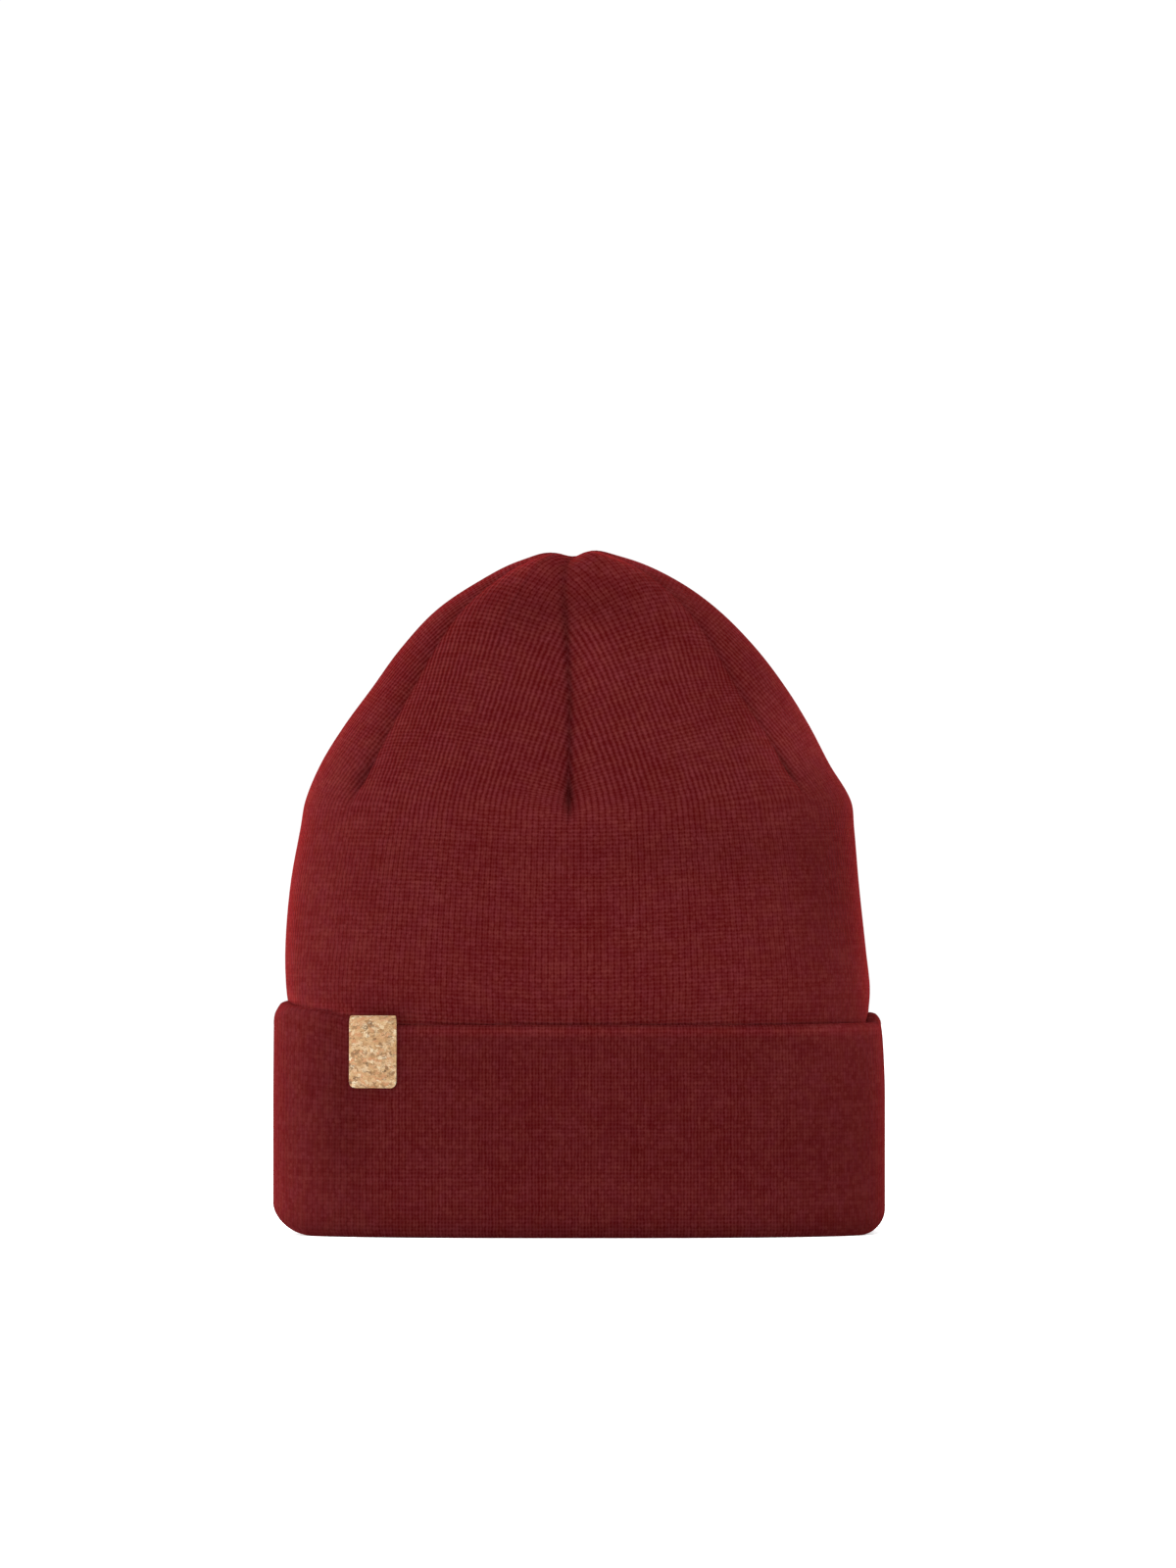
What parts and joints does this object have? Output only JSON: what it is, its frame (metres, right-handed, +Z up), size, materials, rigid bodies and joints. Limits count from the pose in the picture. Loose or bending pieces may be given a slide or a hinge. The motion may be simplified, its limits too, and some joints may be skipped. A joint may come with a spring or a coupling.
{
  "type": "knitted beanie",
  "caption": "Fine-knit red beanie: a hollow crown closed at the top by sewn darts, a turned-up cuff that it stands on, and a small bare cork tab folded over the cuff's edge.",
  "frame": {"origin": "middle of the footprint, on the ground that the hat stands on", "axes": "+Z up to the crown's top, the front with the label faces -Y, +X to the right as seen from the front"},
  "size_m": [0.1958, 0.118, 0.2178],
  "materials": {
    "crown_knit": "fine plain knit, dark red",
    "cuff_knit": "fine plain knit, dark red",
    "label_cork": "thin flecked cork sheet, matt"
  },
  "bodies": {
    "root": {"crown": "crown_knit", "cuff": "cuff_knit", "label": "label_cork"}
  },
  "joints": []
}
